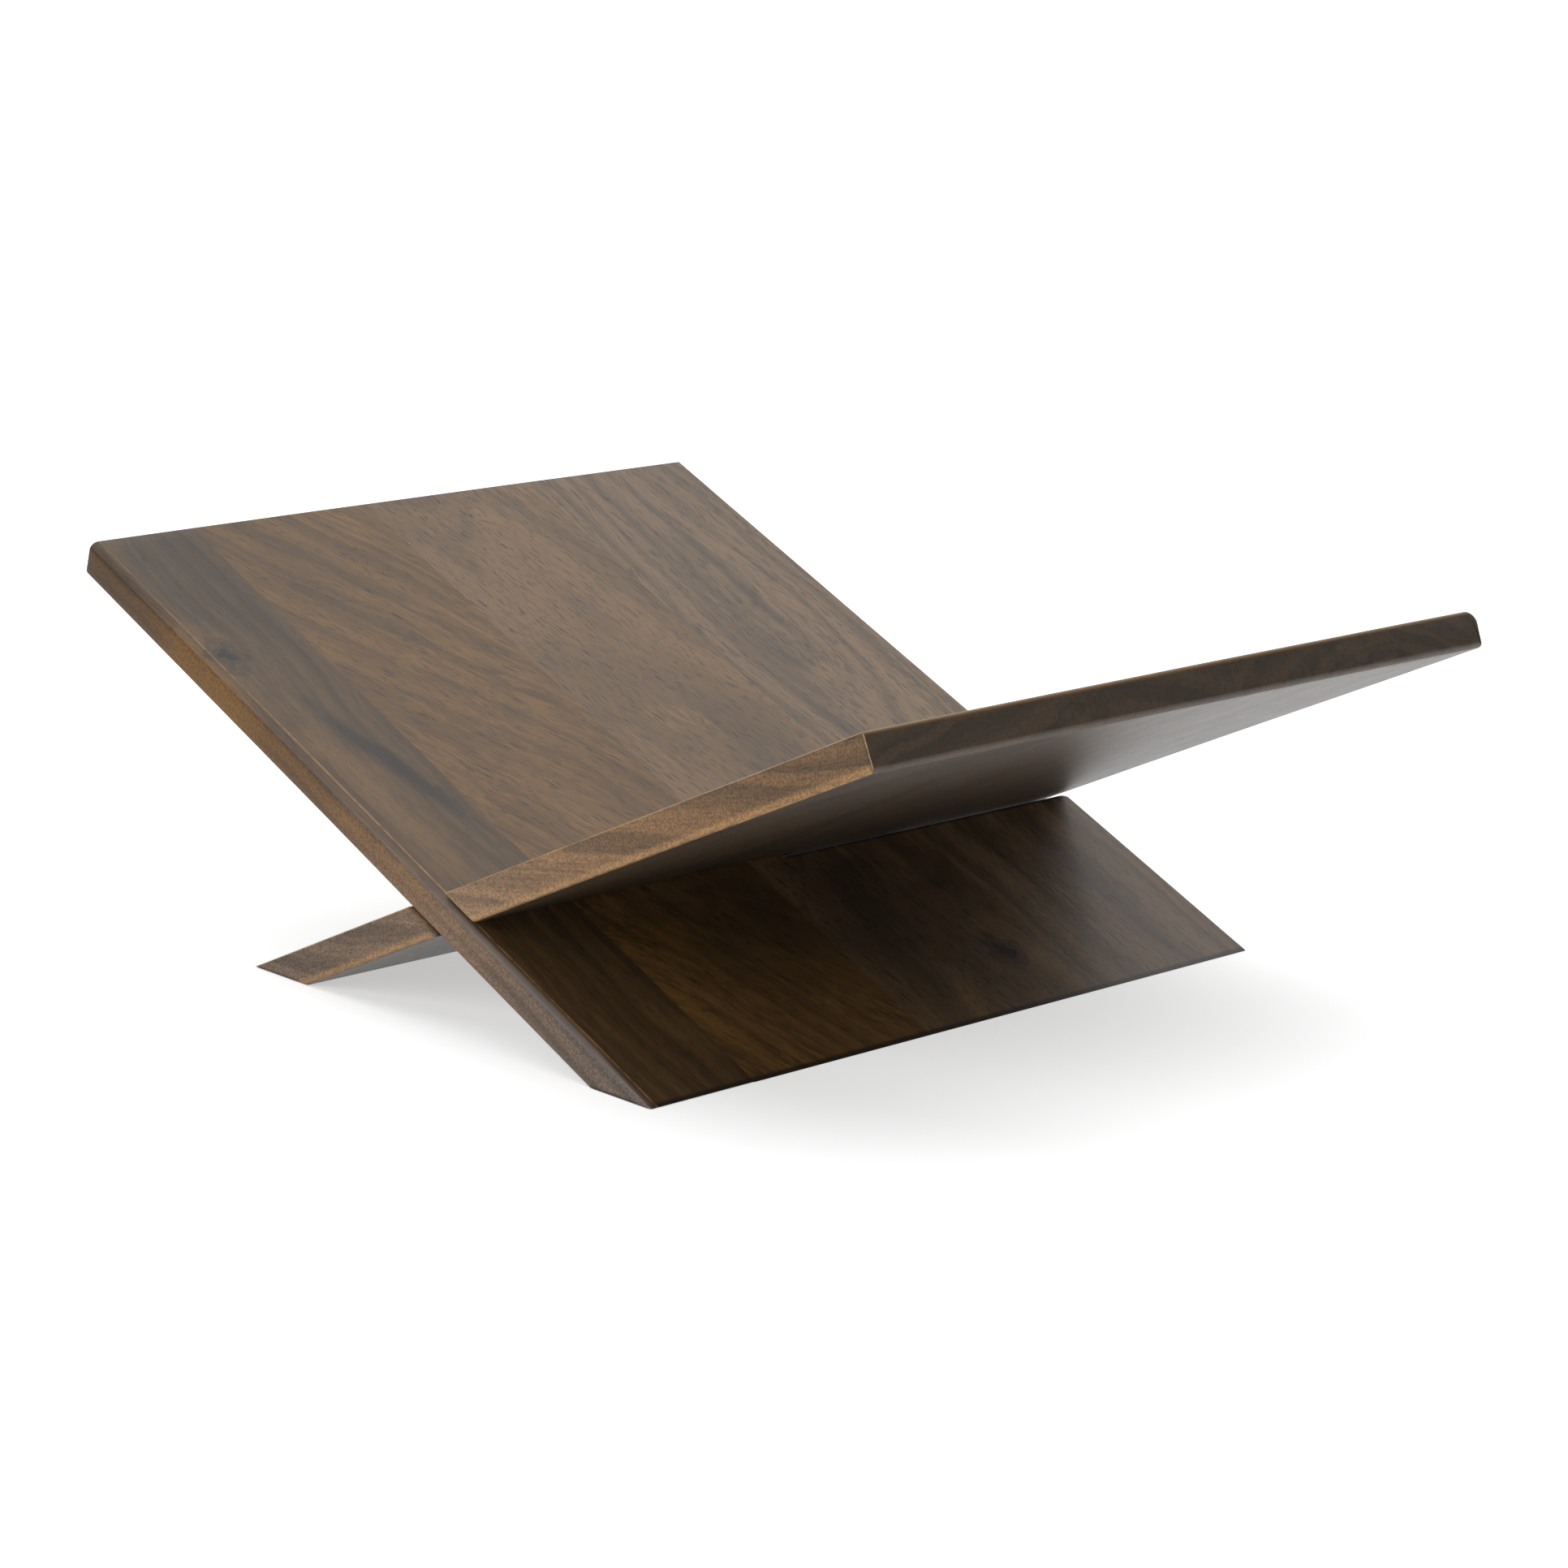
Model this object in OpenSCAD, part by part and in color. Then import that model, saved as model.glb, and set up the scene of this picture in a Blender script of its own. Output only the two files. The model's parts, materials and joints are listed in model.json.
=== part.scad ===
// Stand that holds a photo album open: two solid-wood boards crossed in an X.
// Each board is glued up from staves that run up its slope, and is slotted for half its width.
// The uncut half of each board, its web, stands in the other board's slot, with no fastener.
// The boards stand on level cuts at their lower ends, and their upper leaves make a shallow V.
// X runs along the stand, Y across it and Z up. The origin is on the floor under the crossing.
// The left board's upper leaf rises towards -X and its slot opens at +Y. The right board is the
// same board turned half a turn about Z, so it slides out of the left one towards +Y.

/* [Boards] */
// Width of each board across the grain, which is the depth of the stand
board_w = 305; // [220:5:400]
// Thickness of each board
board_t = 14; // [10:0.5:20]
// Slope of each board up from the floor, in degrees
slope = 24; // [16:1:36]
// Length of an upper leaf, from the crossing to the board's top end
upper_len = 247; // [150:1:400]
// Height of the crossing above the floor, at the middle of the boards' thickness
crossing_h = 45; // [30:1:90]

/* [Slots] */
// Gap between each wall of a slot and the board that stands in it
slot_gap = 0.8; // [0.3:0.1:2]
// Gap between the bottoms of the two slots, where the boards stop each other
stop_gap = 1; // [0.4:0.1:4]
// Radius of the corners at a slot's mouth
mouth_r = 3; // [1:0.5:8]

/* [Arrises] */
// Radius along the upper arris of a board's whole edge, which is sanded soft
soft_r = 5.5; // [1:0.5:8]
// Radius along the upper arris of the slotted edge and of the top end
arris_r = 1; // [0.5:0.1:2]
// Radius along the underside of both edges
under_r = 1.5; // [0.5:0.5:2.5]
// Radius along the underside of the top end
end_r = 2.5; // [0.5:0.5:4]
// Radius of the thin tip of the foot
tip_r = 0.6; // [0.3:0.1:1]
// Radius of the foot's heel, where the level cut meets the underside
heel_r = 12; // [1:1:20]

/* [Staves] */
// Width of the narrow stave along a board's whole edge
edge_stave_w = 48; // [20:1:50]

/* [Hidden] */
$fn = 64;
// How many flats make up the arc of an arris
arc_steps = 8;
// The three wide staves share what the narrow one leaves
wide_stave_w = (board_w - edge_stave_w) / 3;
// Where each stave begins, from the whole edge across to the slotted edge
stave_y = [
    -board_w / 2,
    -board_w / 2 + edge_stave_w,
    -board_w / 2 + edge_stave_w + wide_stave_w,
    board_w / 2 - wide_stave_w,
    board_w / 2
];
// How far down the board its heel and its tip are, measured along it from the crossing
heel_x = crossing_h / sin(slope) - board_t / 2 / tan(slope);
tip_x = crossing_h / sin(slope) + board_t / 2 / tan(slope);
// Half the width of a slot, square to the board that stands in it
slot_half = board_t / 2 + slot_gap;
// Cutting shapes run past what they cut by this much, and the longest ones reach this far
over = 1;
reach = upper_len + tip_x + board_w;

// Points of the arc of radius r that rounds the corner at p. The corner's sides leave it at the
// angles a and b, b the larger, and the points run anticlockwise round the solid.
function arc(p, r, a, b) =
    let (centre = p + r / sin((b - a) / 2) * [cos((a + b) / 2), sin((a + b) / 2)])
    [for (i = [0 : arc_steps]) let (t = b + 90 + (180 - b + a) * i / arc_steps) centre + r * [cos(t), sin(t)]];

// Outline of a board from the side: square top end at -X, level cut at its foot
module side_outline() {
    polygon(concat(
        arc([-upper_len, -board_t / 2], end_r, 0, 90),
        arc([heel_x, -board_t / 2], heel_r, slope, 180),
        arc([tip_x, board_t / 2], tip_r, 180, 180 + slope),
        arc([-upper_len, board_t / 2], arris_r, 270, 360)
    ));
}

// Outline of a board from its end: whole edge at -Y, slotted edge at +Y
module end_outline() {
    polygon(concat(
        arc([-board_w / 2, -board_t / 2], under_r, 0, 90),
        arc([board_w / 2, -board_t / 2], under_r, 90, 180),
        arc([board_w / 2, board_t / 2], arris_r, 180, 270),
        arc([-board_w / 2, board_t / 2], soft_r, 270, 360)
    ));
}

// Slot for the other board, seen along that board: closed at the middle, flared at its mouth
module slot_outline() {
    mouth_y = board_w / 2 - mouth_r;
    translate([-stop_gap / 2, -slot_half]) square([board_w / 2 + stop_gap / 2 + over, 2 * slot_half]);
    difference() {
        translate([mouth_y, -slot_half - mouth_r]) square([mouth_r + over, 2 * (slot_half + mouth_r)]);
        for (side = [-1, 1]) translate([mouth_y, side * (slot_half + mouth_r)]) circle(mouth_r);
    }
}

// The left board before its slot is cut, with the crossing at the origin
module blank() {
    rotate([0, slope, 0]) intersection() {
        rotate([90, 0, 0]) linear_extrude(board_w + 2 * over, center = true) side_outline();
        rotate([90, 0, 90]) linear_extrude(2 * reach, center = true) end_outline();
    }
}

// The cut that makes room for the right board, with walls parallel to that board's faces
module slot_cut() {
    rotate([0, -slope, 0]) rotate([90, 0, 90]) linear_extrude(2 * reach, center = true) slot_outline();
}

// Everything on one side of the right board's middle plane: side 1 is above it, -1 below
module leaf_side(side) {
    rotate([0, -slope, 0]) translate([0, 0, side * reach]) cube(2 * reach, center = true);
}

// Stave number i of the left board, counted from its whole edge, in its place on the floor
module stave(i) {
    low = stave_y[i] - (i == 0 ? over : 0);
    high = stave_y[i + 1] + (i == 3 ? over : 0);
    translate([0, 0, crossing_h]) difference() {
        intersection() {
            blank();
            translate([-reach, low, -reach]) cube([2 * reach, high - low, 2 * reach]);
        }
        if (i >= 2) slot_cut();
    }
}

// One of the two pieces into which the slot parts the last stave
module parted_stave(side) {
    intersection() {
        stave(3);
        translate([0, 0, crossing_h]) leaf_side(side);
    }
}

module right_place() {
    rotate([0, 0, 180]) children();
}

module left_edge_stave() {
    color("#5c4a3c") stave(0);
}

module left_inner_stave() {
    color("#6a5646") stave(1);
}

module left_notched_stave() {
    color("#6e5c4e") stave(2);
}

module left_upper_stave() {
    color("#685648") parted_stave(1);
}

module left_lower_stave() {
    color("#4a3a2e") parted_stave(-1);
}

module right_edge_stave() {
    color("#54453a") right_place() stave(0);
}

module right_inner_stave() {
    color("#63503f") right_place() stave(1);
}

module right_notched_stave() {
    color("#5e4c3e") right_place() stave(2);
}

module right_upper_stave() {
    color("#7a5e44") right_place() parted_stave(1);
}

module right_lower_stave() {
    color("#66523f") right_place() parted_stave(-1);
}

left_edge_stave();
left_inner_stave();
left_notched_stave();
left_upper_stave();
left_lower_stave();
right_edge_stave();
right_inner_stave();
right_notched_stave();
right_upper_stave();
right_lower_stave();
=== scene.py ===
"""Album stand: two slotted boards of stained mango wood, crossed in an X, on a plain studio floor.

Everything is in metres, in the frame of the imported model: X along the stand, Y across the
boards, Z up, origin on the floor under the crossing. The wood is worked out in board
millimetres: x down the slope from the crossing, y across from the whole edge, n out of the
upper face.
"""

import json
import math

import bpy
import numpy as np
from mathutils import Matrix, Vector


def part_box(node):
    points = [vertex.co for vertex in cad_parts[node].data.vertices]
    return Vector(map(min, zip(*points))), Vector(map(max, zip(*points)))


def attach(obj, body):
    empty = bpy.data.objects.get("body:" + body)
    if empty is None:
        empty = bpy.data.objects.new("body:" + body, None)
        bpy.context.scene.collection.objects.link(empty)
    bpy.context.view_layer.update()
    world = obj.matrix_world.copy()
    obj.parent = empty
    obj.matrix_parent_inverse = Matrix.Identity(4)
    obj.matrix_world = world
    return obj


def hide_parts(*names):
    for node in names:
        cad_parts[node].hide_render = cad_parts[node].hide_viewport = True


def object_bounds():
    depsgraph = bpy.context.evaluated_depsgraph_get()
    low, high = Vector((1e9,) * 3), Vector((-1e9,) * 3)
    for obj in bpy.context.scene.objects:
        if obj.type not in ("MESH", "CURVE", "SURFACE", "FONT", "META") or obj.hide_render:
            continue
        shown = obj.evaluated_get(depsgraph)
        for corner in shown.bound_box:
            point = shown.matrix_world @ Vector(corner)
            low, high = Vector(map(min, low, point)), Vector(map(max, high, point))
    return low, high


bl_info = {
    "name": "Crossed-board album stand",
    "version": (1, 0, 0),
    "blender": (4, 5, 0),
    "location": "3D View > Sidebar > Album Stand",
    "description": "Builds the staves, the wood finish and the studio of a crossed-board album stand",
    "category": "Add Mesh",
}

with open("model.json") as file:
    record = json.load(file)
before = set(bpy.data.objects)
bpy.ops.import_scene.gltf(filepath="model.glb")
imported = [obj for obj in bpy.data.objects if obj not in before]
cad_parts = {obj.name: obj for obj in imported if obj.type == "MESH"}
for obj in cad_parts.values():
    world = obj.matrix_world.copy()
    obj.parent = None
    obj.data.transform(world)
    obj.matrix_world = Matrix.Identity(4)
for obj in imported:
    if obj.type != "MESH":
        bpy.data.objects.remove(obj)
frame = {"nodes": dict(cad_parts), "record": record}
CAD_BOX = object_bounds()
MM = 0.001

# The boards' driving sizes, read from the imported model's mounts and boxes
MOUNTS = {mount["name"]: mount for mount in frame["record"]["mounts"]}
REST_AXIS = Vector(MOUNTS["left_rest"]["axis"]).normalized()
SLOPE = math.atan2(REST_AXIS.x, REST_AXIS.z)
CROSSING_H = MOUNTS["left_foot"]["pos_m"][0] * math.tan(SLOPE)
CROSSING = Vector((0.0, 0.0, CROSSING_H))
BOARD_T = 2 * (Vector(MOUNTS["left_rest"]["pos_m"]) - CROSSING).dot(REST_AXIS)
BOARD_W = CAD_BOX[1].y - CAD_BOX[0].y
# The box's top touches the round, PLAIN_R in radius, along the upper arris of the top end, and
# sanding takes SANDED off the end's length, so that a cupped board keeps inside the box
PLAIN_R = 1.0 * MM
SANDED = 0.4 * MM
ROUND_RISE = CAD_BOX[1].z - PLAIN_R - CROSSING_H - (BOARD_T / 2 - PLAIN_R) * math.cos(SLOPE)
UPPER_LEN = ROUND_RISE / math.sin(SLOPE) + PLAIN_R - SANDED
# Coordinates closer than this are the same place
SAME = 1e-6
# Points round each end of the edge stave and across each of its flats, and cells along a slot's width
END_RINGS = 6
FLAT_POINTS = 9
SLOT_CELLS = 3
# Share of a board's length after which its soft arris runs out to a plain one
SOFT_SHARE = 0.88
# Sanding stops this far short of the foot's cut on the edge stave
FOOT_KEPT = 30 * MM


class BoardSizes(bpy.types.PropertyGroup):
    """Sizes of the two boards, which are the same board turned half a turn."""

    thickness: bpy.props.FloatProperty(
        name="Thickness", description="Thickness of each board", default=BOARD_T, unit="LENGTH")
    slope: bpy.props.FloatProperty(
        name="Slope", description="Slope of each board up from the floor", default=SLOPE, subtype="ANGLE")
    crossing_height: bpy.props.FloatProperty(
        name="Crossing height", description="Height of the crossing above the floor, at mid-thickness",
        default=CROSSING_H, unit="LENGTH")
    upper_length: bpy.props.FloatProperty(
        name="Upper leaf", description="Length of an upper leaf from the crossing to its top end",
        default=UPPER_LEN, unit="LENGTH")
    slot_gap: bpy.props.FloatProperty(
        name="Slot gap", description="Gap between a slot's wall and the board in it", default=0.8 * MM,
        unit="LENGTH")
    stop_gap: bpy.props.FloatProperty(
        name="Stop gap", description="Gap between the bottoms of the two slots", default=1.0 * MM,
        unit="LENGTH")
    cup: bpy.props.FloatProperty(
        name="Cup", description="How far a seasoned board's edges drop below its middle at the top end",
        default=0.3 * MM, unit="LENGTH")
    cell: bpy.props.FloatProperty(
        name="Grid cell", description="Size of the surface grid's cells", default=6.0 * MM, unit="LENGTH")


class ArrisSizes(bpy.types.PropertyGroup):
    """How far each kind of arris is sanded back."""

    soft_left: bpy.props.FloatProperty(
        name="Left soft arris", description="Upper arris of the left board's whole edge",
        default=3.5 * MM, unit="LENGTH")
    soft_right: bpy.props.FloatProperty(
        name="Right soft arris", description="Upper arris of the right board's whole edge",
        default=5.5 * MM, unit="LENGTH")
    plain: bpy.props.FloatProperty(
        name="Plain arris", description="Upper arris of the slotted edge and the top end, and the corners",
        default=PLAIN_R, unit="LENGTH")
    under: bpy.props.FloatProperty(
        name="Underside arris", description="Underside of both edges, and top of a slot's lower wall",
        default=1.5 * MM, unit="LENGTH")
    end_under: bpy.props.FloatProperty(
        name="End underside", description="Underside of the top end", default=2.5 * MM, unit="LENGTH")
    mouth: bpy.props.FloatProperty(
        name="Slot mouth", description="Upright corners at a slot's mouth", default=3.0 * MM, unit="LENGTH")
    tip: bpy.props.FloatProperty(
        name="Foot tip", description="Thin tip of the foot", default=0.8 * MM, unit="LENGTH")
    heel: bpy.props.FloatProperty(
        name="Foot heel", description="Heel of the foot, on the underside", default=0.8 * MM,
        unit="LENGTH")
    slot: bpy.props.FloatProperty(
        name="Slot arris", description="Top of a slot's upper wall, and underside of its lower wall",
        default=1.4 * MM, unit="LENGTH")
    slot_blunt: bpy.props.FloatProperty(
        name="Blunt slot arris", description="Underside of a slot's upper wall", default=2.6 * MM,
        unit="LENGTH")
    widest: bpy.props.FloatProperty(
        name="Widest bevel", description="Bevel width that stands for a weight of 1", default=3.0 * MM,
        unit="LENGTH")


def hex_colour(text):
    """The linear red, green and blue, with alpha 1, of an sRGB hex value such as "#6a5646"."""
    values = [int(text[i:i + 2], 16) / 255 for i in (1, 3, 5)]
    return tuple(v / 12.92 if v <= 0.04045 else ((v + 0.055) / 1.055) ** 2.4 for v in values) + (1.0,)


def colour_property(name, description, text):
    """A colour that a user may change, with its sRGB hex value as the default."""
    return bpy.props.FloatVectorProperty(
        name=name, description=description, default=hex_colour(text), size=4, subtype="COLOR",
        min=0.0, max=1.0)


class WoodColours(bpy.types.PropertyGroup):
    """Colours of the stained wood, before the light falls on it."""

    light: colour_property("Light wood", "Golden figure in the stained wood", "#927045")
    middle: colour_property("Middle wood", "Most of the stained wood", "#7a5d3c")
    dark: colour_property("Dark wood", "Dark growth lines", "#5a452d")
    streak: colour_property("Mineral streak", "Blue-black mineral streaks along the grain", "#2d2826")
    pore: colour_property("Pore", "Stain that has settled in the open pores", "#211f1d")
    # Partly wear through the stain and partly painted highlight along the arrises
    wear_and_highlight: colour_property("Worn and highlighted arris", "Wood sanded through the stain along an arris", "#c2935c")
    # Painted highlight: the pale line on the upright corner
    corner_highlight: colour_property("Corner highlight", "Bare wood on the most rubbed corner", "#e6d3b4")
    # Painted highlight: the blue-grey sheen painted in the soft arris
    satin: colour_property("Painted sheen", "Blue-grey highlight painted in the soft arris", "#7d777a")


class StageSettings(bpy.types.PropertyGroup):
    """Camera, floor and lights."""

    azimuth: bpy.props.FloatProperty(
        name="Azimuth", description="Camera's turn about Z from looking along +Y",
        default=math.radians(47.96), subtype="ANGLE")
    elevation: bpy.props.FloatProperty(
        name="Elevation", description="Camera's height above the horizon", default=math.radians(13.58),
        subtype="ANGLE")
    roll: bpy.props.FloatProperty(
        name="Roll", description="Camera's tilt about its own axis", default=math.radians(0.24),
        subtype="ANGLE")
    distance: bpy.props.FloatProperty(
        name="Distance", description="From the camera to what it aims at", default=1.605, unit="LENGTH")
    aim: bpy.props.FloatVectorProperty(
        name="Aim", description="Point the camera aims at", default=(0.0083, 0.0074, 0.0699),
        size=3, subtype="XYZ", unit="LENGTH")
    lens: bpy.props.FloatProperty(
        name="Lens", description="Focal length in millimetres on a 36 mm sensor", default=96.2)
    floor_size: bpy.props.FloatProperty(
        name="Floor", description="Side of the square floor", default=40.0, unit="LENGTH")
    floor_colour: colour_property("Floor colour", "White seamless paper", "#f7f7f7")
    key: bpy.props.FloatProperty(
        name="Overhead light", description="Strength of the soft box overhead and behind", default=2.8)
    fill: bpy.props.FloatProperty(
        name="Front light", description="Strength of the soft box in front", default=1.2)
    room: bpy.props.FloatProperty(
        name="Room light", description="Strength of the even light from all round", default=0.12)


def sizes():
    """The boards' sizes, as the user has set them."""
    return bpy.context.scene.album_boards


def arrises():
    """The arrises' radii, as the user has set them."""
    return bpy.context.scene.album_arrises


def soft_radius(turned):
    """Radius of the upper arris of a board's whole edge."""
    return arrises().soft_right if turned else arrises().soft_left


def board_matrix(turned):
    """From board coordinates to the frame: tilt down towards +X, lift to the crossing, and for the
    right board half a turn about Z."""
    tilt = Matrix.Translation((0, 0, sizes().crossing_height)) @ Matrix.Rotation(sizes().slope, 4, "Y")
    return (Matrix.Rotation(math.pi, 4, "Z") if turned else Matrix.Identity(4)) @ tilt


def smooth_ramp(value, low, high):
    """0 below low, 1 above high, and the cubic 3s^2 - 2s^3 between."""
    s = np.clip((value - low) / (high - low), 0.0, 1.0)
    return s * s * (3 - 2 * s)


def hand_sanding(x, y, side, turned):
    """How far sanding has sunk the face on that side, in metres: a sum of four slow waves across the
    board, shifted to be zero or more, that fades out from 120 to 30 mm from the crossing."""
    phase = (2.0 if turned else 0.5) + side
    waves = (np.sin(31 * x + 17 * y + phase) + 0.7 * np.sin(53 * y - 19 * x + 2.1 * phase)
             + 0.5 * np.sin(67 * x + 71 * y + 3.3 * phase) + 0.3 * np.sin(113 * y + 89 * x + 4.7 * phase))
    return 0.05 * MM * (waves + 2.5) / 2.5 * smooth_ramp(np.abs(x), 0.03, 0.12)


def cupping(x, y):
    """How far a seasoned board has dropped: the cup times the square of y over half the width, growing
    from nothing 60 mm above the crossing to its whole at the top end."""
    return sizes().cup * (2 * y / BOARD_W) ** 2 * smooth_ramp(-x, 0.06, sizes().upper_length)


def row_lines(low, high, count):
    """Rows of the plan grid between two cuts. A cut is (a, b), the line x = a + b n in the board's
    side view, and the rows turn evenly from one cut's slant to the other's."""
    part = np.linspace(0.0, 1.0, count + 1)[:, None]
    return np.array(low) * (1 - part) + np.array(high) * part


def board_rows():
    """All rows of a board from its top end to its foot, and the row numbers of the slot's two walls."""
    size = sizes()
    s = size.slope
    half = size.thickness / 2 + size.slot_gap
    top = (-size.upper_length, 0.0)
    above = (-half / math.sin(2 * s), 1 / math.tan(2 * s))
    below = (half / math.sin(2 * s), 1 / math.tan(2 * s))
    foot = (size.crossing_height / math.sin(s), 1 / math.tan(s))
    upper = row_lines(top, above, round((above[0] - top[0]) / size.cell))
    slot = row_lines(above, below, SLOT_CELLS)[1:-1]
    lower = row_lines(below, foot, round((foot[0] - below[0]) / size.cell))
    return np.vstack([upper, slot, lower]), len(upper) - 1, len(upper) + len(slot)


def column_lines(low, high, stop=None):
    """Columns across a stave from low to high, with one at stop where the slot ends inside it."""
    marks = [low, high] if stop is None else [low, stop, high]
    spans = [np.linspace(a, b, max(2, round((b - a) / sizes().cell)) + 1) for a, b in zip(marks, marks[1:])]
    return np.unique(np.concatenate(spans))


def walls(solid):
    """Grid edges where the solid cells stop: for each side, the (row, column) pairs at its two ends,
    in the order that makes the wall face outwards, and which way it faces."""
    pad = np.pad(solid, 1)
    inner = pad[1:-1, 1:-1]
    sides = (
        (pad[:-2, 1:-1], (0, 1), (0, 0), "row"), (pad[2:, 1:-1], (1, 0), (1, 1), "row"),
        (pad[1:-1, :-2], (0, 0), (1, 0), "column"), (pad[1:-1, 2:], (1, 1), (0, 1), "column"))
    found = []
    for beyond, start, end, facing in sides:
        i, j = np.nonzero(inner & ~beyond)
        found.append((i + start[0], j + start[1], i + end[0], j + end[1], facing))
    return found


def stave_mesh(name, turned, rows, columns, solid, radius_of):
    """Closed mesh of one stave. The plan grid's rows and columns carry an upper and a lower face,
    n = +-(thickness / 2 - sanding) - cup, at x = a + b n on each row, and walls close the sides of
    the solid cells. radius_of(row, y, upper) gives the radius of an arris in a wall."""
    size = sizes()
    row, column = np.meshgrid(np.arange(len(rows)), np.arange(len(columns)), indexing="ij")
    y = columns[column]
    drop = cupping(rows[row, 0], y)
    foot_row = row == len(rows) - 1
    n = []
    for side in (1, -1):
        sunk = hand_sanding(rows[row, 0], y, side, turned)
        face = side * (size.thickness / 2 - sunk) - drop
        n.append(np.where(foot_row, side * size.thickness / 2, face))
    n = np.stack(n)
    x = rows[row, 0] + rows[row, 1] * n
    points = np.stack([x, np.broadcast_to(y, x.shape), n], -1).reshape(-1, 3)

    across = len(columns)
    layer = row.size
    i, j = np.nonzero(solid)
    top = np.stack([i * across + j, (i + 1) * across + j, (i + 1) * across + j + 1, i * across + j + 1], 1)
    quads = [top, top[:, ::-1] + layer]
    arris_ends, arris_radius, upright = [], [], {}
    for ia, ja, ib, jb, facing in walls(solid):
        a, b = ia * across + ja, ib * across + jb
        quads.append(np.stack([a + layer, b + layer, b, a], 1))
        for upper, first in ((True, 0), (False, layer)):
            arris_ends.append(np.stack([a, b], 1) + first)
            arris_radius.append(radius_of(ia, ja, ib, jb, facing, upper))
        free = radius_of(ia, ja, ib, jb, facing, True) > 0
        upright.setdefault(facing, []).append(np.unique(np.concatenate([a[free], b[free]])))
    corners = np.intersect1d(np.concatenate(upright["row"]), np.concatenate(upright["column"]))
    corners = corners[np.abs(np.abs(columns[corners % across]) - BOARD_W / 2) < SAME]
    arris_ends.append(np.stack([corners, corners + layer], 1))
    ends = np.isin(corners // across, (0, len(rows) - 1))
    arris_radius.append(np.where(ends, arrises().plain, arrises().mouth))

    faces = np.vstack(quads)
    used, faces = np.unique(faces, return_inverse=True)
    faces = faces.reshape(-1, 4)
    mesh = bpy.data.meshes.new(name)
    mesh.from_pydata(points[used].tolist(), [], faces.tolist())
    mesh.transform(board_matrix(turned))
    weigh_arrises(mesh, used, np.vstack(arris_ends), np.concatenate(arris_radius), 2 * layer)
    mesh.validate()
    return mesh


def weigh_arrises(mesh, used, ends, radius, count):
    """Writes each arris's radius, as a share of the widest, to the mesh's bevel weights. An edge is
    found by the number low end * count + high end."""
    pairs = np.empty(len(mesh.edges) * 2, np.int64)
    mesh.edges.foreach_get("vertices", pairs)
    pairs = np.sort(used[pairs.reshape(-1, 2)], 1)
    keys = pairs[:, 0] * count + pairs[:, 1]
    ends = np.sort(ends, 1)
    wanted = ends[:, 0] * count + ends[:, 1]
    order = np.argsort(keys)
    at = order[np.searchsorted(keys, wanted, sorter=order)]
    weight = np.zeros(len(mesh.edges), np.float32)
    weight[at] = radius / arrises().widest
    attribute = mesh.attributes.new("bevel_weight_edge", "FLOAT", "EDGE")
    attribute.data.foreach_set("value", weight)
    mesh.polygons.foreach_set("use_smooth", np.ones(len(mesh.polygons), bool))
    mesh.set_sharp_from_angle(angle=math.radians(20))
    sharp = np.empty(len(mesh.edges), bool)
    mesh.edges.foreach_get("use_edge_sharp", sharp)
    mesh.edges.foreach_set("use_edge_sharp", sharp & (weight == 0))


def arris_rule(columns, last_row, above, below):
    """A function that gives an arris's radius from where its wall is: glued faces have none. above
    and below are the rows of the slot's two walls."""
    size = arrises()

    def radius_of(ia, ja, ib, jb, facing, upper):
        """Radius of the upper or lower arris of the walls from (ia, ja) to (ib, jb)."""
        if facing == "column":
            slotted = np.abs(columns[ja] - BOARD_W / 2) < SAME
            return np.where(slotted, size.plain if upper else size.under, 0.0)
        top = size.plain if upper else size.end_under
        foot = size.tip if upper else size.heel
        wall_above = size.slot if upper else size.slot_blunt
        wall_below = size.under if upper else size.slot
        return np.select([ia == 0, ia == last_row, ia == above, ia == below],
                         [top, foot, wall_above, wall_below], 0.0)

    return radius_of


def edge_profile(low, high, soft, steps=10):
    """Outline of the edge stave from its end, anticlockwise seen from +x: corner points and arcs
    centre + r (cos t, sin t), as rows of (y, n), and the outward normal of each. The points at the
    glued side have no normal across the board, so that it stays flush with the next stave."""
    size = sizes()
    half = size.thickness / 2
    under = arrises().under
    flat = np.linspace(high, low + soft, FLAT_POINTS)
    top = np.stack([flat, np.full(len(flat), half)], 1)
    t = np.linspace(math.pi / 2, math.pi, steps + 1)[1:]
    turn = np.stack([low + soft + soft * np.cos(t), half - soft + soft * np.sin(t)], 1)
    t_under = np.linspace(math.pi, 1.5 * math.pi, steps // 2 + 1)
    back = np.stack([low + under + under * np.cos(t_under), -half + under + under * np.sin(t_under)], 1)
    flat = np.linspace(low + under, high, FLAT_POINTS)[1:]
    bottom = np.stack([flat, np.full(len(flat), -half)], 1)
    points = np.vstack([top, turn, back, bottom])
    angles = np.concatenate([np.full(len(top), math.pi / 2), t, t_under, np.full(len(flat), 1.5 * math.pi)])
    normals = np.stack([np.cos(angles), np.sin(angles)], 1)
    return points, normals


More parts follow.
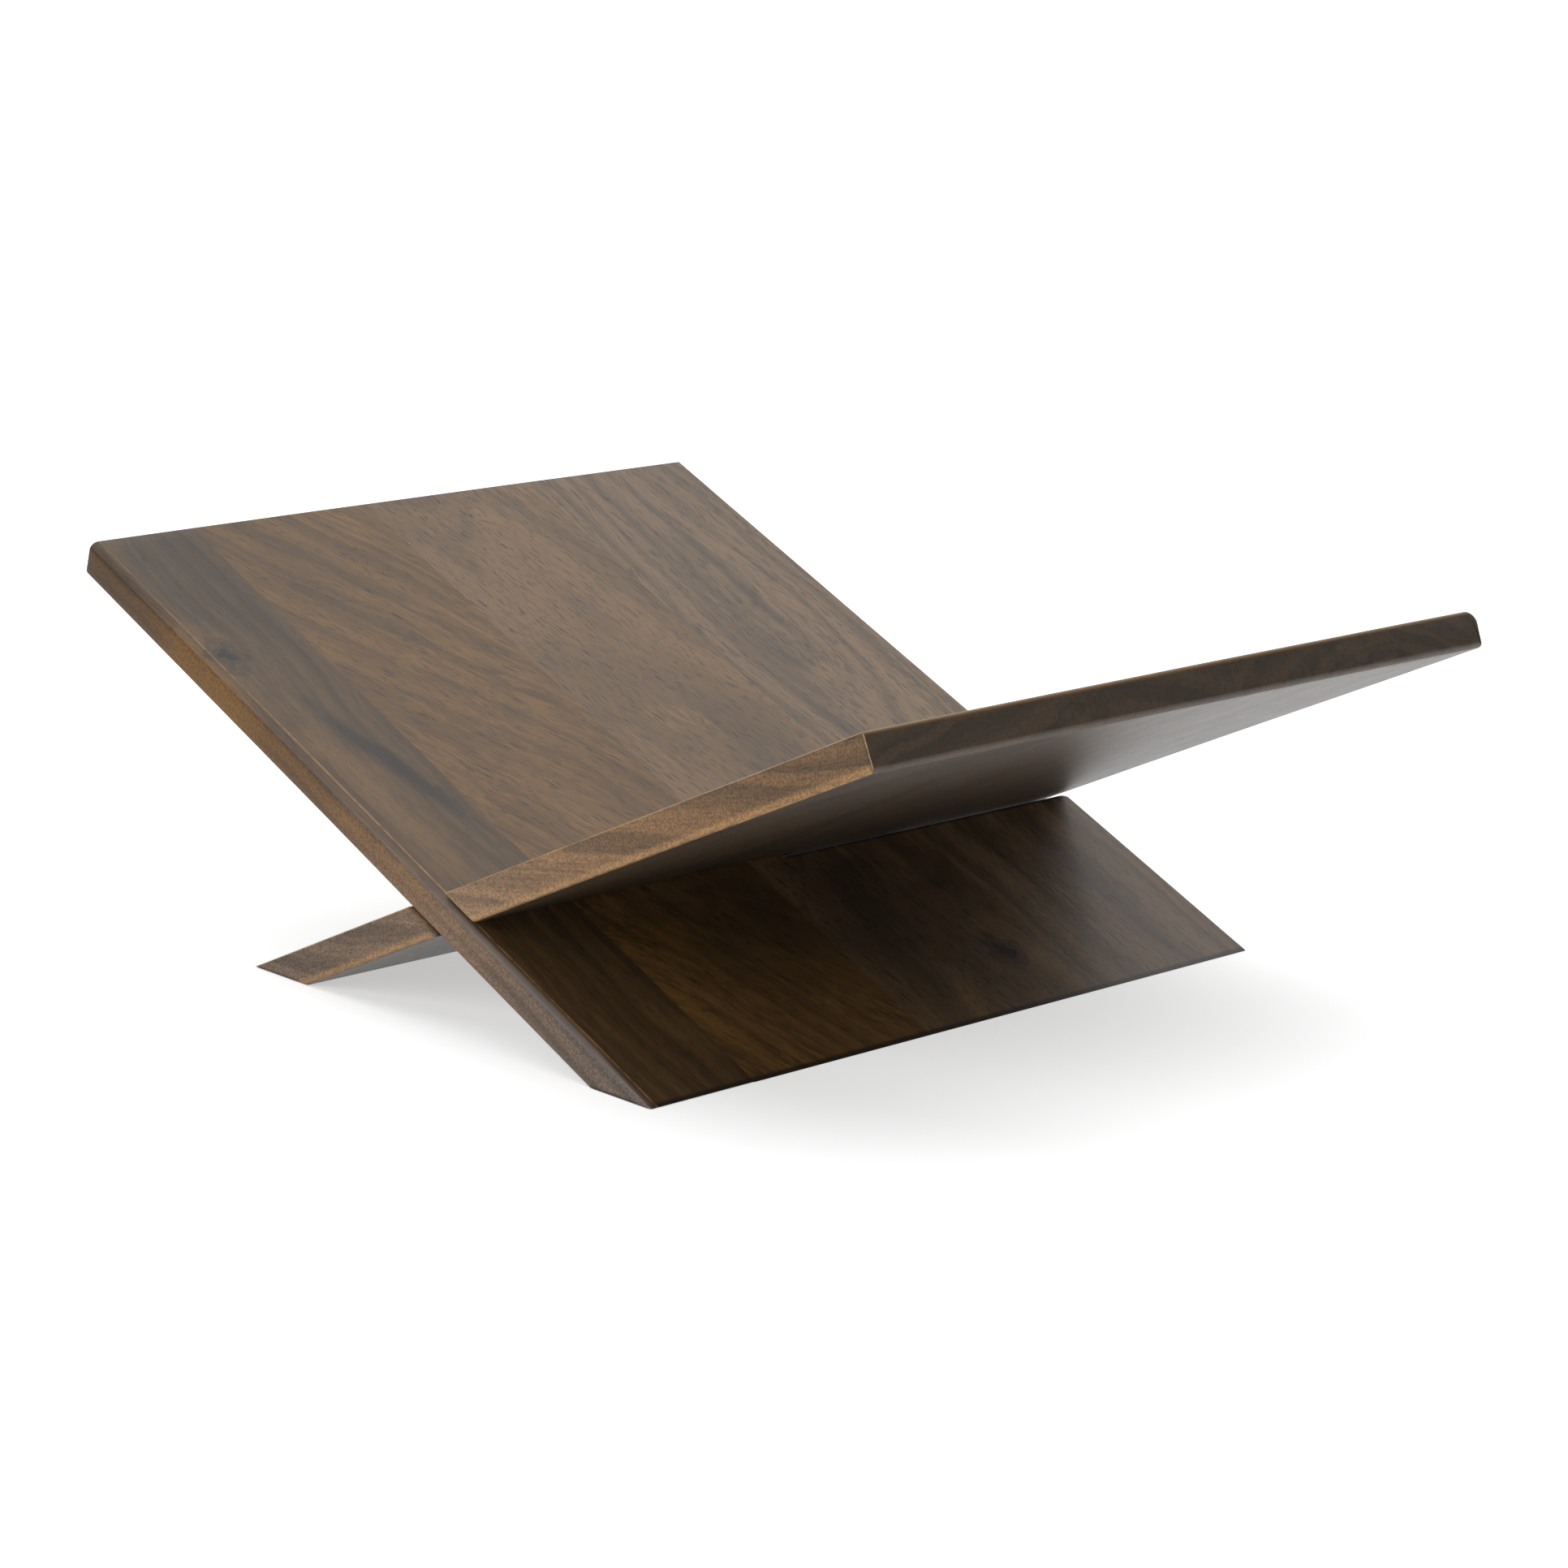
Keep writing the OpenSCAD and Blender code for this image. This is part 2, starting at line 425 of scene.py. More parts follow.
def edge_stave_mesh(name, turned, low, high):
    """Closed mesh of the stave with the soft edge: the edge profile carried along x. Near each end
    the profile shrinks by r (1 - sin t) along its normal while x goes on by r (1 - cos t), which
    rounds the end with radius r, and the foot keeps to its cut x = a + b n. Beyond SOFT_SHARE of
    the length the soft arris runs out to a plain one."""
    size = sizes()
    profile, normal = edge_profile(low, high, soft_radius(turned))
    crisp, _ = edge_profile(low, high, arrises().plain)
    foot_a = size.crossing_height / math.sin(size.slope)
    foot_b = 1 / math.tan(size.slope)
    below = smooth_ramp(-profile[:, 1], -size.thickness / 4, size.thickness / 4)
    r_top = arrises().plain + (arrises().end_under - arrises().plain) * below
    r_foot = arrises().tip + (arrises().heel - arrises().tip) * below
    t = np.linspace(0, math.pi / 2, END_RINGS)[:, None]
    count = round((size.upper_length + foot_a) / size.cell)
    along = np.linspace(0, 1, count + 1)[1:-1, None]
    shrink = np.vstack([r_top * (1 - np.sin(t)), np.zeros((count - 1, len(profile))),
                        (r_foot * (1 - np.sin(t)))[::-1]])
    part = np.vstack([np.zeros((END_RINGS, 1)), along, np.ones((END_RINGS, 1))])
    crispness = smooth_ramp(part, SOFT_SHARE, 1.0)
    base_y = profile[:, 0] * (1 - crispness) + crisp[:, 0] * crispness
    base_n = profile[:, 1] * (1 - crispness) + crisp[:, 1] * crispness
    y = base_y - shrink * normal[:, 0]
    n = base_n - shrink * normal[:, 1]
    start = -size.upper_length + r_top
    x = np.vstack([-size.upper_length + r_top * (1 - np.cos(t)),
                   start * (1 - along) + (foot_a + foot_b * base_n[END_RINGS:-END_RINGS] - r_foot) * along,
                   foot_a + foot_b * n[-END_RINGS:] - (r_foot * (1 - np.cos(t)))[::-1]])
    sunk = hand_sanding(x, y, np.sign(n), turned)
    n = n - sunk * normal[:, 1] * (x < foot_a - FOOT_KEPT) - cupping(x, y)
    rings, points = x.shape
    i, j = np.meshgrid(np.arange(rings - 1), np.arange(points), indexing="ij")
    after = (j + 1) % points
    here, onward = i * points, (i + 1) * points
    sides = np.stack([here + j, here + after, onward + after, onward + j], -1)
    caps = [list(range(points))[::-1], list(range((rings - 1) * points, rings * points))]
    mesh = bpy.data.meshes.new(name)
    mesh.from_pydata(np.stack([x, y, n], -1).reshape(-1, 3).tolist(), [],
                     sides.reshape(-1, 4).tolist() + caps)
    mesh.transform(board_matrix(turned))
    mesh.polygons.foreach_set("use_smooth", np.ones(len(mesh.polygons), bool))
    mesh.set_sharp_from_angle(angle=math.radians(40))
    mesh.validate()
    return mesh


def require_solid(mesh):
    """Raises an error unless each edge has two faces and the volume, the sum of a . (b x c) / 6 over
    the triangles, is more than zero, so that the faces point outwards."""
    edge_of = np.empty(len(mesh.loops), np.int64)
    mesh.loops.foreach_get("edge_index", edge_of)
    mesh.calc_loop_triangles()
    points = np.empty(len(mesh.vertices) * 3)
    mesh.vertices.foreach_get("co", points)
    corners = np.empty(len(mesh.loop_triangles) * 3, np.int64)
    mesh.loop_triangles.foreach_get("vertices", corners)
    a, b, c = points.reshape(-1, 3)[corners.reshape(-1, 3)].transpose(1, 0, 2)
    volume = np.einsum("ij,ij->", a, np.cross(b, c)) / 6
    if volume <= 0 or np.any(np.bincount(edge_of, minlength=len(mesh.edges)) != 2):
        raise RuntimeError(mesh.name + " isn't a closed solid that faces outwards")


def build_stave(node, look):
    """Builds the detailed stave that stands for one CAD node, and gives it its wood."""
    turned = node.startswith("right")
    kind = node.split("_")[1]
    low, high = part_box(node)
    span = sorted([-low.y, -high.y] if turned else [low.y, high.y])
    rows, above, below = board_rows()
    slot_end = -sizes().stop_gap / 2
    columns = column_lines(*span, stop=slot_end if kind == "notched" else None)
    solid = np.ones((len(rows) - 1, len(columns) - 1), bool)
    middle = (columns[1:] + columns[:-1]) / 2
    if kind == "notched":
        solid[above:below, middle > slot_end] = False
    if kind == "upper":
        solid[above:] = False
    if kind == "lower":
        solid[:below] = False
    if kind == "edge":
        mesh = edge_stave_mesh(node, turned, *span)
    else:
        rule = arris_rule(columns, len(rows) - 1, above, below)
        mesh = stave_mesh(node, turned, rows, columns, solid, rule)
    require_solid(mesh)
    piece = bpy.data.objects.new(node + "_wood", mesh)
    bpy.context.scene.collection.objects.link(piece)
    if kind != "edge":
        bevel = piece.modifiers.new("arrises", "BEVEL")
        bevel.limit_method = "WEIGHT"
        bevel.width = arrises().widest
        bevel.segments = 6
        bevel.use_clamp_overlap = False
        bevel.harden_normals = True
    mesh.materials.append(stained_mango(node, turned, look))
    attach(piece, "right_board" if turned else "left_board")
    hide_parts(node)


def add(tree, kind, inputs=(), out=0, **settings):
    """Adds one node and gives one of its outputs. inputs fills its sockets in order, or by number or
    name: a socket is linked, and anything else becomes the value. settings are its own attributes."""
    node = tree.nodes.new("ShaderNode" + kind)
    for key, value in settings.items():
        setattr(node, key, value)
    for key, value in (inputs.items() if isinstance(inputs, dict) else enumerate(inputs)):
        if isinstance(value, bpy.types.NodeSocket):
            tree.links.new(value, node.inputs[key])
        else:
            node.inputs[key].default_value = value
    return node.outputs[out] if node.outputs else None


SMOOTH = {"interpolation_type": "SMOOTHSTEP"}
# Sets each stave's noise this far apart from the next one's, in cycles of the noise
SEED_STEP = 137.0

# Each stave's own wood: where its part of the log's heart lies (pith), how its grain is skewed in
# the board's plane and how far it dips into it, and how strong each kind of figure is. Marks are
# (kind, x, y, half length, half width, lean, strength). Lengths are in board millimetres.
PLAIN_LOOK = {
    "seed": 0.0, "pith": (0.0, -60.0), "skew": 0.0, "dip": 0.0, "tone": 1.0, "colour": 1.0,
    "light": 0.5, "bands": 0.5, "flecks": 0.5, "pores": 0.6, "marks": (),
}
LOOKS = {
    "left_edge_stave": {
        "seed": 1.0, "pith": (-160.0, -40.0), "tone": 0.71, "light": 0.25, "bands": 0.5, "flecks": 0.3,
        "pores": 0.5, "marks": (
            ("light", -62.0, -138.0, 75.0, 11.0, 0.05, 0.75), ("light", 92.0, -112.0, 26.0, 9.0, 0.2, 0.5),
            ("light", -160.0, -152.5, 50.0, 6.0, 0.0, 0.8), ("light", -20.0, -152.5, 70.0, 4.0, 0.0, 0.4),
            ("streak", -225.0, -124.0, 90.0, 30.0, 0.0, 0.4),
            ("streak", -78.0, -120.0, 50.0, 7.0, 0.2, 0.85),
            ("light", -158.0, -143.0, 30.0, 10.0, 0.0, 0.55),
            ("knot", -160.0, -143.0, 17.0, 9.0, 0.0, 1.3))},
    "left_inner_stave": {
        "seed": 2.0, "pith": (-40.0, -50.0), "skew": 0.40, "dip": 0.05, "colour": 1.1, "light": 0.7,
        "bands": 0.12, "flecks": 0.25, "pores": 0.95, "marks": (
            # The broad streak at x 45 is partly darker wood and partly painted shade under the right
            # board's upper leaf
            ("streak", 45.0, -40.0, 60.0, 48.0, 0.0, 0.5), ("light", 88.0, -98.0, 40.0, 8.0, 0.2, 0.5),
            ("streak", -205.0, -80.0, 45.0, 22.0, 0.2, 0.22))},
    "left_notched_stave": {
        "seed": 3.0, "pith": (40.0, -170.0), "skew": 0.12, "dip": 0.04, "tone": 1.19, "colour": 0.95,
        "light": 0.4, "bands": 0.1, "flecks": 0.35, "pores": 1.0, "marks": (
            # The broad streak at x 60 is partly darker wood and partly painted shade under the right
            # board's upper leaf
            ("streak", 60.0, 20.0, 70.0, 55.0, 0.0, 0.55), ("knot", 94.0, 48.0, 13.0, 10.0, 0.0, 1.3))},
    "left_upper_stave": {
        "seed": 4.0, "pith": (120.0, -30.0), "tone": 1.2, "colour": 0.85, "light": 0.3, "bands": 0.65,
        "flecks": 0.8, "pores": 0.7, "marks": (("streak", -160.0, 112.5, 110.0, 4.0, 0.0, 0.5),)},
    "left_lower_stave": {
        "seed": 4.0, "pith": (120.0, -30.0), "tone": 1.1, "colour": 0.85, "light": 0.3, "bands": 0.5,
        "flecks": 0.5, "pores": 0.7},
    "right_edge_stave": {"seed": 5.0, "pith": (-60.0, -110.0), "skew": 0.06, "bands": 0.5, "light": 0.45},
    "right_inner_stave": {"seed": 6.0, "pith": (-60.0, -80.0), "skew": 0.15, "pores": 0.85, "flecks": 0.6},
    "right_notched_stave": {"seed": 7.0, "pith": (20.0, -90.0), "skew": -0.1, "light": 0.6, "pores": 0.9},
    "right_upper_stave": {
        "seed": 8.0, "pith": (60.0, -170.0), "skew": 0.05, "dip": 0.25, "tone": 1.12, "light": 0.35,
        "bands": 0.0, "flecks": 0.3, "pores": 0.9},
    "right_lower_stave": {
        "seed": 8.0, "pith": (60.0, -170.0), "skew": 0.05, "dip": 0.25, "tone": 0.95, "light": 0.3,
        "bands": 0.2, "pores": 0.9},
}


def figure(tree, place, scale, offset, detail=3.0, roughness=0.6, out="Fac"):
    """Wood figure: noise at place * scale + offset, where scale is in cycles per mm on each axis."""
    spot = add(tree, "VectorMath", [place, scale, offset], operation="MULTIPLY_ADD")
    return add(tree, "TexNoise", {
        "Vector": spot, "Scale": 1.0, "Detail": detail, "Roughness": roughness}, out)


def lone_mark(tree, board, seed, wood, mark):
    """Draws one knot, mineral streak or golden flame over the wood: an ellipse, leaning along the
    board by lean, whose outline noise has bent. A knot has rings about its middle. The broad streak
    marks on the left board's lower leaf are partly painted shade."""
    kind, mark_x, mark_y, half_length, half_width, lean, strength = mark
    colours = bpy.context.scene.album_colours
    x = add(tree, "SeparateXYZ", [board])
    leaned = add(tree, "VectorMath", [x, (0, -lean, 0), board], operation="MULTIPLY_ADD")
    centre = (-mark_x / half_length - 0.55, (lean * mark_x - mark_y) / half_width - 0.55, 0)
    scaled = add(tree, "VectorMath", [leaned, (1 / half_length, 1 / half_width, 0), centre],
                 operation="MULTIPLY_ADD")
    wobble = 0.12 if kind == "knot" else 0.05
    bend = figure(tree, board, (wobble, wobble, wobble), (seed, seed, 0), 2.0, 0.5, "Color")
    bent = add(tree, "VectorMath", [bend, (1.1, 1.1, 0), scaled], operation="MULTIPLY_ADD")
    away = add(tree, "VectorMath", [bent], "Value", operation="LENGTH")
    amount = add(tree, "MapRange", [away, 0.2, 1.1, strength, 0.0], **SMOOTH)
    if kind == "knot":
        rings = add(tree, "TexNoise", {"W": away, "Scale": 6.0, "Detail": 2.0}, "Fac",
                    noise_dimensions="1D")
        rings = add(tree, "MapRange", [rings, 0.35, 0.6, 0.35, 1.0], **SMOOTH)
        amount = add(tree, "Math", [amount, rings], operation="MULTIPLY")
    colour = tuple(colours.light if kind == "light" else colours.streak)
    return add(tree, "Mix", {0: amount, 6: wood, 7: colour}, 2, data_type="RGBA")


def mango_figure(tree, board, look, on_edge):
    """Colour of the stained wood on and under its faces, with its fibres and its pores, each 0 to 1."""
    colours = bpy.context.scene.album_colours
    seed = SEED_STEP * look["seed"]
    x = add(tree, "SeparateXYZ", [board])

    # Sheared, so that this stave's fibres run straight along x, then bent by slow noise
    sway = figure(tree, board, (0.007, 0.016, 0.016), (seed, seed, 0), 2.0, 0.5, "Color")
    fibre = add(tree, "VectorMath", [x, (0, -look["skew"], -look["dip"]), board], operation="MULTIPLY_ADD")
    grain = add(tree, "VectorMath", [sway, (0, 22, 22), fibre], operation="MULTIPLY_ADD")

    # Growth lines are shells about the heart of the log
    pith_y, pith_n = look["pith"]
    radial = add(tree, "VectorMath", [grain, (0, 1, 1), (0, -pith_y, -pith_n)], operation="MULTIPLY_ADD")
    reach = add(tree, "VectorMath", [radial], "Value", operation="LENGTH")
    rings = add(tree, "TexNoise", {"W": reach, "Scale": 0.14, "Detail": 4.0, "Roughness": 0.6}, "Fac",
                noise_dimensions="1D")
    rings = add(tree, "MapRange", [rings, 0.36, 0.62, 0.2, 1.0], **SMOOTH)
    wood = add(tree, "Mix", {0: rings, 6: tuple(colours.dark), 7: tuple(colours.middle)}, 2,
               data_type="RGBA")

    # Golden flames 4 mm wide and 18 mm long, gathered in patches, and faint on the edges
    patches = figure(tree, grain, (0.010, 0.028, 0.028), (seed, 0, 0), 2.0)
    gathered = 0.62 - 0.3 * look["light"]
    patches = add(tree, "MapRange", [patches, gathered, gathered + 0.16, 0.05, 0.55], **SMOOTH)
    flames = figure(tree, grain, (0.055, 0.24, 0.24), (0, seed, 0), 4.0, 0.7)
    flames = add(tree, "MapRange", [flames, 0.42, 0.64, 0.0, 1.0], **SMOOTH)
    flames = add(tree, "Math", [flames, patches], operation="MULTIPLY")
    faint = add(tree, "MapRange", [on_edge, 0.0, 1.0, 1.0, 0.45])
    flames = add(tree, "Math", [flames, faint], operation="MULTIPLY")
    wood = add(tree, "Mix", {0: flames, 6: wood, 7: tuple(colours.light)}, 2, data_type="RGBA")

    # Dark bands 10 mm apart along the whole board, and dark flecks 2.5 mm wide and 11 mm long
    for key, low, high, scale, offset, detail, roughness in (
            ("bands", 0.48, 0.68, (0.005, 0.10, 0.10), (0, 0, seed), 4.0, 0.55),
            ("flecks", 0.53, 0.66, (0.09, 0.40, 0.40), (seed, seed, 0), 3.0, 0.6)):
        dark = figure(tree, grain, scale, offset, detail, roughness)
        dark = add(tree, "MapRange", [dark, low, high, 0.0, 0.6 * look[key]], **SMOOTH)
        dark = add(tree, "Math", [dark, faint], operation="MULTIPLY")
        wood = add(tree, "Mix", {0: dark, 6: wood, 7: tuple(colours.streak)}, 2, data_type="RGBA")
    for mark in look["marks"]:
        wood = lone_mark(tree, board, seed, wood, mark)

    # Fibres 1 mm wide, and pores: real ones are 0.2 mm wide and are drawn at 0.5 mm to show
    pores = figure(tree, grain, (0.11, 1.5, 1.5), (0, seed, seed), 1.0, 0.5)
    pores = add(tree, "MapRange", [pores, 0.58, 0.68, 0.0, 1.0], **SMOOTH)
    filled = add(tree, "Math", [pores, 0.75 * look["pores"]], operation="MULTIPLY")
    filled = add(tree, "Math", [filled, faint], operation="MULTIPLY")
    wood = add(tree, "Mix", {0: filled, 6: wood, 7: tuple(colours.pore)}, 2, data_type="RGBA")
    fibres = figure(tree, grain, (0.03, 0.9, 0.9), (seed, 0, seed), 3.0, 0.65)
    contrast = add(tree, "MapRange", [on_edge, 0.0, 1.0, 0.9, 0.2])
    shade = add(tree, "Math", [fibres, 0.5], operation="SUBTRACT")
    shade = add(tree, "Math", [shade, contrast, 1.0], operation="MULTIPLY_ADD")
    wood = add(tree, "VectorMath", {0: wood, "Scale": shade}, operation="SCALE")
    wood = add(tree, "HueSaturation", {"Color": wood, "Saturation": look["colour"], "Value": look["tone"]})
    return wood, fibres, pores


def rubbed_arrises(tree, board, wood, turned, seed, to_face, to_edge, to_end):
    """Wood where the arrises are rubbed through the stain and partly painted with highlights, and the
    blue-grey sheen painted in the soft arris.
    """
    colours = bpy.context.scene.album_colours
    x, y, n = add(tree, "SeparateXYZ", [board]).node.outputs
    half = BOARD_W / 2 / MM
    soft = soft_radius(turned) / MM
    top = sizes().thickness / 2 / MM

    # Painted sheen: a blue-grey highlight painted in the soft arris, stronger towards the foot
    band = add(tree, "MapRange", [y, -half + 0.25 * soft, -half + soft, 1.0, 0.0], **SMOOTH)
    high = add(tree, "MapRange", [n, top - soft, top - 0.35 * soft, 0.0, 1.0], **SMOOTH)
    sheen_towards_foot = add(tree, "MapRange", [x, -230.0, 110.0, 0.08, 0.45])
    band = add(tree, "Math", [band, high], operation="MULTIPLY")
    band = add(tree, "Math", [band, sheen_towards_foot], operation="MULTIPLY")
    wood = add(tree, "Mix", {0: band, 6: wood, 7: tuple(colours.satin)}, 2, data_type="RGBA")

    # Paler arrises, patchy: along each arris partly wear rubbed through the stain and partly painted
    # highlight; painted highlight on the crest of the soft one and on the lower gold band
    patchy = figure(tree, board, (0.2, 0.2, 0.2), (seed, 0, 0))
    patchy = add(tree, "MapRange", [patchy, 0.3, 0.7, 0.2, 1.0], **SMOOTH)
    corners = [add(tree, "Math", [a, b], operation="MAXIMUM")
               for a, b in ((to_face, to_edge), (to_face, to_end), (to_edge, to_end))]
    nearest = add(tree, "Math", corners[:2], operation="MINIMUM")
    nearest = add(tree, "Math", [nearest, corners[2]], operation="MINIMUM")
    wear_and_highlight = add(tree, "MapRange", [nearest, 0.2, 0.9, 0.85, 0.0], **SMOOTH)
    # Painted highlight: a pale line along the crest of the soft arris, fainter towards the top end
    crest_highlight = add(tree, "Math", [y, half - soft], operation="ADD")
    crest_highlight = add(tree, "Math", [crest_highlight], operation="ABSOLUTE")
    crest_highlight = add(tree, "MapRange", [crest_highlight, 0.1, 0.7, 0.75, 0.0], **SMOOTH)
    flat = add(tree, "MapRange", [n, 6.0, 6.6, 0.0, 1.0], **SMOOTH)
    crest_highlight = add(tree, "Math", [crest_highlight, flat], operation="MULTIPLY")
    dashed = add(tree, "MapRange", [x, -230.0, -40.0, 0.35, 1.0])
    crest_highlight = add(tree, "Math", [crest_highlight, dashed], operation="MULTIPLY")
    wear_and_highlight = add(tree, "Math", [wear_and_highlight, crest_highlight], operation="MAXIMUM")
    wear_and_highlight = add(tree, "Math", [wear_and_highlight, patchy], operation="MULTIPLY")
    # Painted highlight: a band low on the slotted edge
    slotted = add(tree, "MapRange", [y, half - 0.5, half - 0.1, 0.0, 1.0], **SMOOTH)
    lower = add(tree, "MapRange", [n, -5.6, -3.2, 0.5, 0.0], **SMOOTH)
    lower = add(tree, "Math", [slotted, lower], operation="MULTIPLY")
    wear_and_highlight = add(tree, "Math", [wear_and_highlight, lower], operation="MAXIMUM")
    at_end = add(tree, "MapRange", [to_end, 0.4, 1.2, 1.0, 0.0], **SMOOTH)
    upper = add(tree, "MapRange", [n, 5.0, 6.6, 0.0, 0.4], **SMOOTH)
    upper = add(tree, "Math", [at_end, upper], operation="MULTIPLY")
    wear_and_highlight = add(tree, "Math", [wear_and_highlight, upper], operation="MAXIMUM")
    wood = add(tree, "Mix", {0: wear_and_highlight, 6: wood, 7: tuple(colours.wear_and_highlight)}, 2, data_type="RGBA")

    # Painted highlight: a pale line on the upright corner of the slotted edge and the top end
    corner_highlight = add(tree, "MapRange", [corners[2], 0.2, 0.55, 0.6, 0.0], **SMOOTH)
    corner_highlight = add(tree, "Math", [corner_highlight, add(tree, "MapRange", [y, 0.0, 1.0, 0.0, 1.0])], operation="MULTIPLY")
    return add(tree, "Mix", {0: corner_highlight, 6: wood, 7: tuple(colours.corner_highlight)}, 2, data_type="RGBA")


def stained_mango(name, turned, look):
    """Solid mango wood, planed, hand-sanded, stained dark walnut and sealed with a low-sheen lacquer.

    The stain sinks into the open pores and the mineral streaks, so the grain reads as fine dark
    dashes and soft dark bands on taupe brown, with golden flames where the grain turns. End grain
    drinks more stain and goes almost black. Sanding cuts through the stain along the arrises; the
    paler lines there are partly that wear and partly painted highlight, and a blue-grey sheen is
    painted in the soft arris. The underside and the foot next to the floor are darkened as painted
    shade. The thin lacquer gives a low, broad shine on the faces and less on the edges.
    """
    look = {**PLAIN_LOOK, **look}
    colours = bpy.context.scene.album_colours
    size = sizes()
    material = bpy.data.materials.new(name + "_stained_lacquered_mango")
    material.use_nodes = True
    tree = material.node_tree
    tree.nodes.clear()
    seed = SEED_STEP * look["seed"]

    # Board millimetres: x down the slope, y across, n out of the upper face
    place = add(tree, "TexCoord", out="Object")
    board = add(tree, "Mapping", {
        "Vector": place, "Location": (0, 0, size.crossing_height),
        "Rotation": (0, size.slope, math.pi if turned else 0), "Scale": (MM, MM, MM)},
                vector_type="TEXTURE")
    x, y, n = add(tree, "SeparateXYZ", [board]).node.outputs
    above_floor = add(tree, "SeparateXYZ", [place], out=2)

    # Distances in mm from the nearer face, the nearer edge and the top end
    to_face = add(tree, "Math", [n], operation="ABSOLUTE")
    to_face = add(tree, "Math", [size.thickness / 2 / MM, to_face], operation="SUBTRACT")
    to_edge = add(tree, "Math", [y], operation="ABSOLUTE")
    to_edge = add(tree, "Math", [BOARD_W / 2 / MM, to_edge], operation="SUBTRACT")
    to_end = add(tree, "Math", [x, size.upper_length / MM], operation="ADD")
    on_edge = add(tree, "MapRange", [to_edge, 0.0, 0.6, 1.0, 0.0], **SMOOTH)

    # Edges are darker and redder near the top end and greyer at the foot; on the right board the edge is
    # also darkened just below the crossing, as painted shade under the left board
    wood, fibres, pores = mango_figure(tree, board, look, on_edge)
    deep = add(tree, "MapRange", [x, -120.0, 100.0, *((1.0, 0.72) if turned else (1.22, 0.62))])
    pale = add(tree, "MapRange", [x, -240.0, 0.0, *((0.84, 1.55) if turned else (0.71, 1.38))])
    shaded = add(tree, "MapRange", [x, 0.0, 40.0, 1.0, 0.68 if turned else 1.0])
    pale = add(tree, "Math", [pale, shaded], operation="MULTIPLY")
    wood = add(tree, "HueSaturation", {
        "Hue": 0.494, "Saturation": deep, "Value": pale, "Fac": on_edge, "Color": wood})

    # The top end's grain has drunk more stain; the underside is darkened as painted shade, and so is the
    # foot within 1.5 mm of the floor, as painted shade where it stands on the floor
    at_end = add(tree, "MapRange", [to_end, 0.4, 1.4, 0.75, 0.0], **SMOOTH)
    underside = add(tree, "MapRange", [n, -6.6, -5.4, 0.8, 0.0], **SMOOTH)
    foot_shade = add(tree, "MapRange", [above_floor, 0.7 * MM, 1.5 * MM, 0.85, 0.0], **SMOOTH)
    # stained carries the end grain's real stain together with the painted shade of the underside and the
    # foot
    stained = add(tree, "Math", [at_end, underside], operation="MAXIMUM")
    stained = add(tree, "Math", [stained, foot_shade], operation="MAXIMUM")
    wood = add(tree, "Mix", {0: stained, 6: wood, 7: tuple(colours.pore)}, 2, data_type="RGBA")
    wood = rubbed_arrises(tree, board, wood, turned, seed, to_face, to_edge, to_end)

    # Sanding grit leaves a fine speckle on the edges: real grit is 0.2 mm and is drawn at 0.9 mm
    speckle = figure(tree, board, (1.1, 1.1, 1.1), (seed, 0, 0), 2.0, 0.8)
    speckle = add(tree, "MapRange", [speckle, 0.40, 0.60, 0.48, 0.0], **SMOOTH)
    speckle = add(tree, "Math", [speckle, on_edge], operation="MULTIPLY")
    wood = add(tree, "Mix", {0: speckle, 6: wood, 7: tuple(colours.pore)}, 2, data_type="RGBA")

    # Lacquer: even on the faces, thin on the edges, where it sinks into the sanded fibres
    relief = add(tree, "Math", [fibres, pores], operation="SUBTRACT")
    bump = add(tree, "Bump", {"Strength": 0.3, "Distance": 0.12 * MM, "Height": relief})
    rough = add(tree, "MapRange", [fibres, 0.3, 0.7, 0.36, 0.50])
    specular = add(tree, "MapRange", [on_edge, 0.0, 1.0, 0.33, 0.2])
    coat = add(tree, "MapRange", [on_edge, 0.0, 1.0, 0.12, 0.0])
    shader = add(tree, "BsdfPrincipled", {
        "Base Color": wood, "Roughness": rough, "Normal": bump, "IOR": 1.5,
        "Specular IOR Level": specular, "Coat Weight": coat, "Coat Roughness": 0.22, "Coat IOR": 1.5})
    add(tree, "OutputMaterial", {"Surface": shader})
    return material


def white_paper(colour):
    """White seamless studio paper, matt, and lit enough to read as plain white."""
    material = bpy.data.materials.new("white_seamless_paper")
    material.use_nodes = True
    tree = material.node_tree
    tree.nodes.clear()
    place = add(tree, "TexCoord", out="Object")
    tooth = add(tree, "TexNoise", {"Vector": place, "Scale": 900.0, "Detail": 2.0}, out="Fac")
    bump = add(tree, "Bump", {"Strength": 0.05, "Distance": 0.05 * MM, "Height": tooth})
    shader = add(tree, "BsdfPrincipled", {
        "Base Color": tuple(colour), "Roughness": 0.95, "Normal": bump,
        "Emission Color": (1, 1, 1, 1), "Emission Strength": 0.5})
    add(tree, "OutputMaterial", {"Surface": shader})
    return material


def soft_light(name, towards, spread, strength):
    """A very large, distant soft box in the direction towards, spread degrees across."""
    data = bpy.data.lights.new(name, "SUN")
    data.angle = math.radians(spread)
    data.energy = strength
    lamp = bpy.data.objects.new(name, data)
    lamp.rotation_euler = Vector(towards).to_track_quat("Z", "Y").to_euler()
    bpy.context.scene.collection.objects.link(lamp)


def build_board(side):
    """Builds the staves of one board, and raises an error if the frame lacks one of them."""
    for node, look in LOOKS.items():
        if not node.startswith(side):
            continue
        if node not in frame["nodes"]:
            raise RuntimeError("the frame has no node " + node)
        build_stave(node, look)


